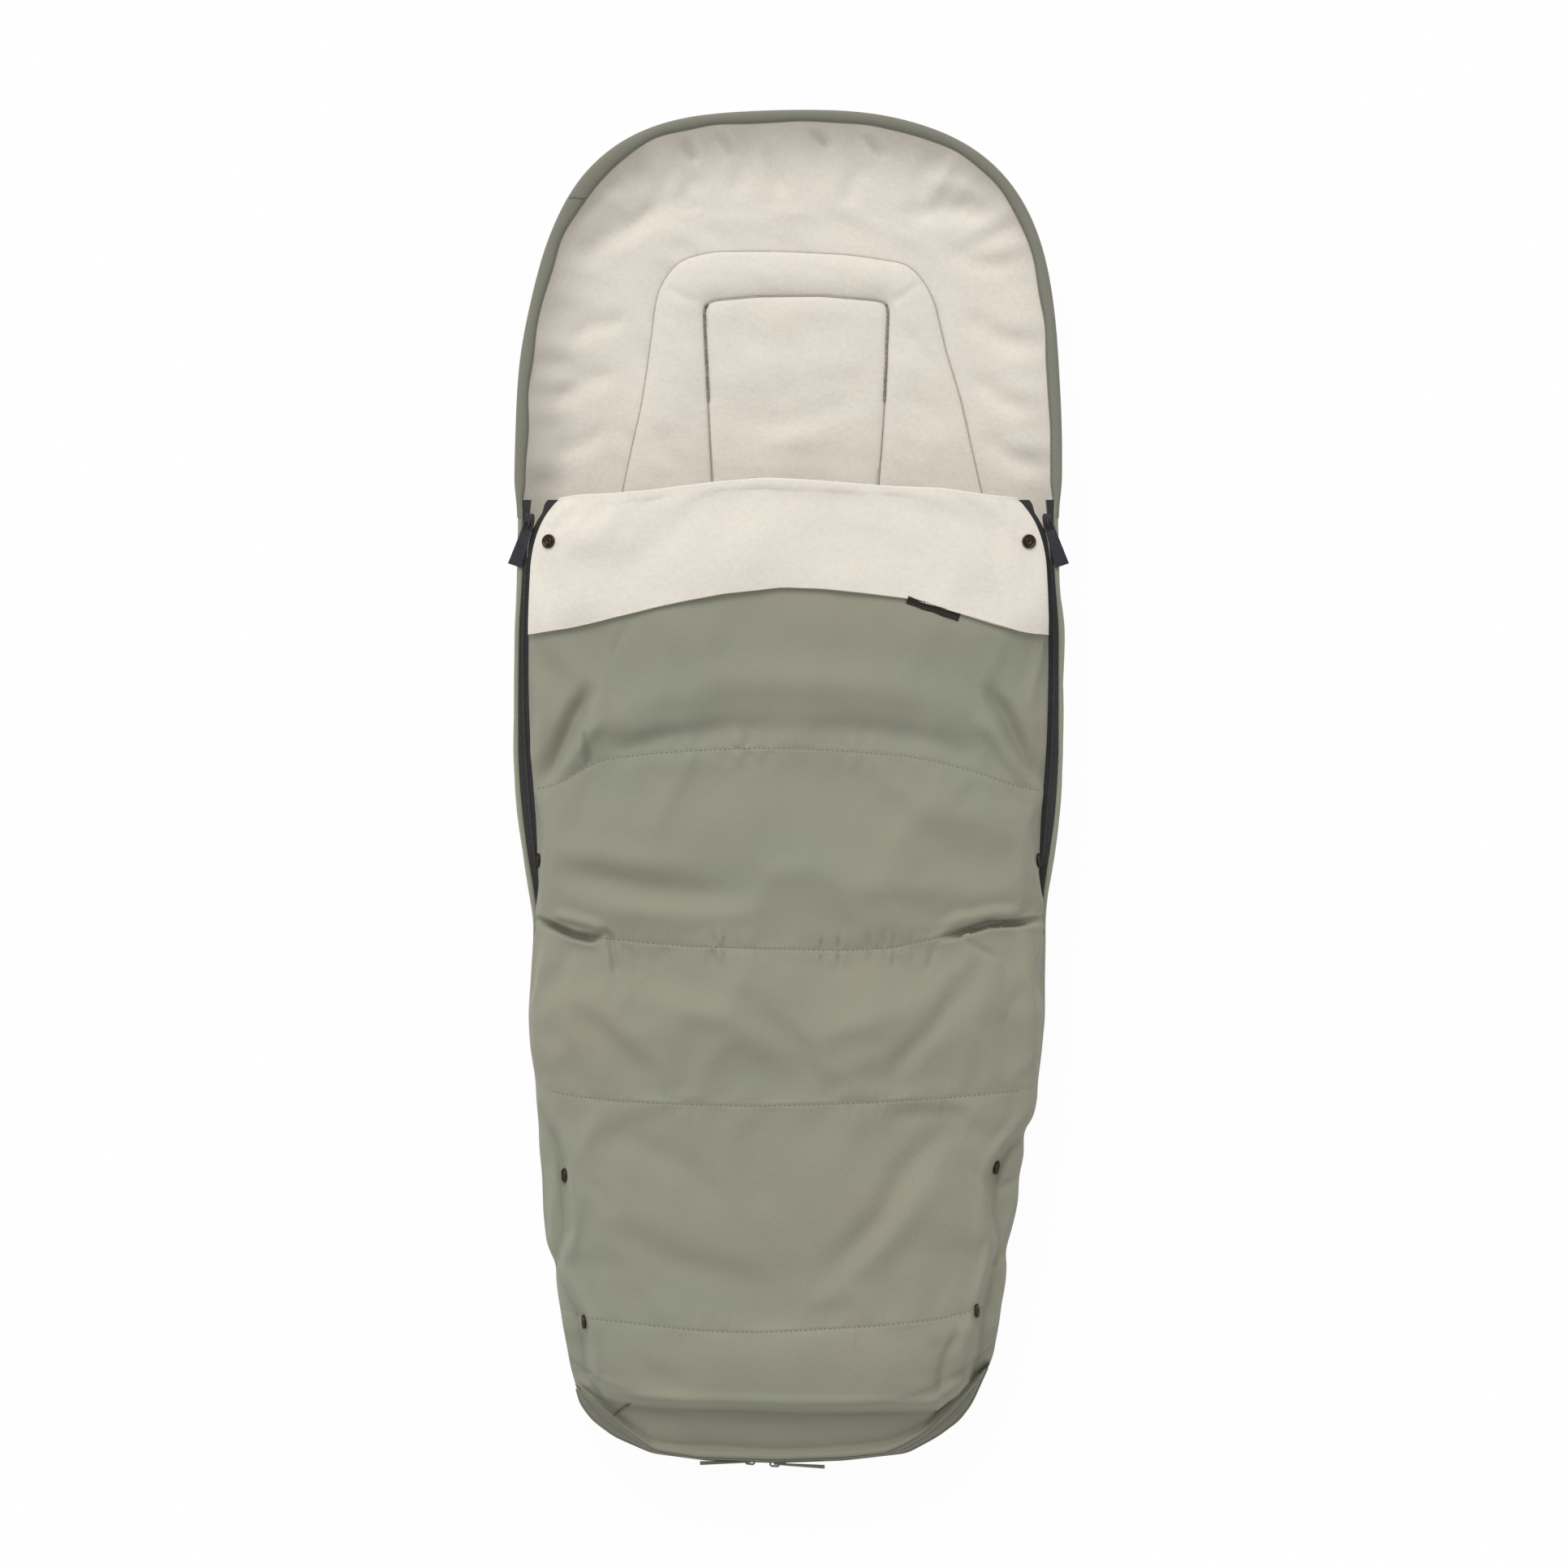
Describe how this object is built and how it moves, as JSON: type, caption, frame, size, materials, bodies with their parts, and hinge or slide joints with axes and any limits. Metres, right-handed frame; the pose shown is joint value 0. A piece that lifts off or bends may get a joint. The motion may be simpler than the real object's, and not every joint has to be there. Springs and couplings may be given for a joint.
{
  "type": "stroller footmuff",
  "caption": "Padded footmuff for a pushchair seat: fleece-lined tub with harness slots, zipped quilted cover with turned-down cuff, and a toe flap on its own zip.",
  "frame": {"origin": "on the flat back of the shell, midway between the sides, a little above half way from foot to head", "axes": "+Y towards the head end, +Z out of the front, +X to the right seen from the front with the head up"},
  "size_m": [0.4076, 1.0048, 0.1127],
  "materials": {
    "sage_fabric": "woven sage polyester, faint sheen",
    "sage_trim": "sage binding and zip tape",
    "fleece": "cream short-pile fleece",
    "wadding": "white polyester wadding, hidden",
    "zip_tape": "charcoal woven zip tape",
    "zip_coil": "charcoal nylon coil",
    "foot_coil": "sage nylon coil",
    "slider_metal": "satin charcoal enamel on die-cast metal",
    "foot_metal": "satin sage enamel on die-cast metal",
    "snap_metal": "dark antique bronze",
    "tag_fabric": "dark brown woven tape, blank"
  },
  "bodies": {
    "back": {"back_shell": "sage_fabric", "back_wadding": "wadding", "back_lining": "fleece", "harness_pad": "fleece", "harness_panel": "fleece", "rim_binding": "sage_trim", "zip_tape_shell_left": "zip_tape", "zip_tape_shell_right": "zip_tape", "zip_coil_shell_left": "zip_coil", "zip_coil_shell_right": "zip_coil", "foot_tape_shell": "sage_trim", "foot_coil_shell": "foot_coil", "lower_cover_face": "sage_fabric", "lower_cover_lining": "fleece", "lower_cover_fill_3": "wadding", "lower_cover_fill_4": "wadding", "lower_snap_left": "snap_metal", "lower_snap_right": "snap_metal"},
    "cover": {"cover_face": "sage_fabric", "cover_lining": "fleece", "cover_fill_1": "wadding", "cover_fill_2": "wadding", "zip_tape_cover_left": "zip_tape", "zip_tape_cover_right": "zip_tape", "zip_coil_cover_left": "zip_coil", "zip_coil_cover_right": "zip_coil", "side_snap_left": "snap_metal", "side_snap_right": "snap_metal"},
    "cuff": {"cuff_face": "sage_fabric", "cuff_fill": "wadding", "cuff_fleece": "fleece", "tag": "tag_fabric", "cuff_snap_left": "snap_metal", "cuff_snap_right": "snap_metal"},
    "slider_left": {"zip_slider_left": "slider_metal", "zip_bail_left": "slider_metal"},
    "slider_right": {"zip_slider_right": "slider_metal", "zip_bail_right": "slider_metal"},
    "pull_left": {"zip_pull_left": "slider_metal"},
    "pull_right": {"zip_pull_right": "slider_metal"},
    "toe_flap": {"toe_flap_face": "sage_fabric", "toe_flap_lining": "fleece", "toe_flap_fill_5": "wadding", "foot_tape_flap_left": "sage_trim", "foot_tape_flap_right": "sage_trim", "foot_coil_flap_left": "foot_coil", "foot_coil_flap_right": "foot_coil", "toe_snap_left": "snap_metal", "toe_snap_right": "snap_metal"},
    "foot_slider_left": {"foot_slider_left": "foot_metal", "foot_bail_left": "foot_metal"},
    "foot_slider_right": {"foot_slider_right": "foot_metal", "foot_bail_right": "foot_metal"},
    "foot_pull_left": {"foot_pull_left": "foot_metal"},
    "foot_pull_right": {"foot_pull_right": "foot_metal"}
  },
  "joints": [
    {"name": "cover_fold", "type": "hinge", "parent": "back", "child": "cover", "pos_m": [0, -0.112, 0.0935], "axis": [1, 0, 0], "range_deg": [0, 130]},
    {"name": "cuff_fold", "type": "hinge", "parent": "cover", "child": "cuff", "pos_m": [0, 0.222, 0.062], "axis": [-1, 0, 0], "range_deg": [0, 160]},
    {"name": "slider_left_run", "type": "hinge", "parent": "back", "child": "slider_left", "pos_m": [1.034, 0.09, 0.0568], "axis": [0, 0, 1], "range_deg": [0, 12.6]},
    {"name": "slider_right_run", "type": "hinge", "parent": "back", "child": "slider_right", "pos_m": [-1.034, 0.09, 0.0568], "axis": [0, 0, -1], "range_deg": [0, 12.6]},
    {"name": "pull_left_swing", "type": "hinge", "parent": "slider_left", "child": "pull_left", "pos_m": [-0.19168, 0.193, 0.0603], "axis": [-0.9336, 0.3584, 0], "range_deg": [0, 150]},
    {"name": "pull_right_swing", "type": "hinge", "parent": "slider_right", "child": "pull_right", "pos_m": [0.19168, 0.193, 0.0603], "axis": [-0.9336, -0.3584, 0], "range_deg": [0, 150]},
    {"name": "toe_flap_lift", "type": "hinge", "parent": "back", "child": "toe_flap", "pos_m": [0, -0.398, 0.102], "axis": [-1, 0, 0], "range_deg": [0, 110]},
    {"name": "foot_slider_left_run", "type": "hinge", "parent": "back", "child": "foot_slider_left", "pos_m": [0, -0.2845, 0.0517], "axis": [0, 0, -1], "range_deg": [0, 42]},
    {"name": "foot_slider_right_run", "type": "hinge", "parent": "back", "child": "foot_slider_right", "pos_m": [0, -0.2845, 0.0517], "axis": [0, 0, 1], "range_deg": [0, 52]},
    {"name": "foot_pull_left_swing", "type": "hinge", "parent": "foot_slider_left", "child": "foot_pull_left", "pos_m": [-0.02846, -0.50114, 0.0517], "axis": [0, 0, 1], "range_deg": [0, 150]},
    {"name": "foot_pull_right_swing", "type": "hinge", "parent": "foot_slider_right", "child": "foot_pull_right", "pos_m": [-0.01016, -0.50276, 0.0517], "axis": [0, 0, -1], "range_deg": [0, 150]}
  ],
  "couplings": [
    {"joint": "slider_left_run", "follows": "cover_fold", "ratio": 0.0965},
    {"joint": "slider_right_run", "follows": "cover_fold", "ratio": 0.0965},
    {"joint": "foot_slider_left_run", "follows": "toe_flap_lift", "ratio": 0.38},
    {"joint": "foot_slider_right_run", "follows": "toe_flap_lift", "ratio": 0.47}
  ]
}
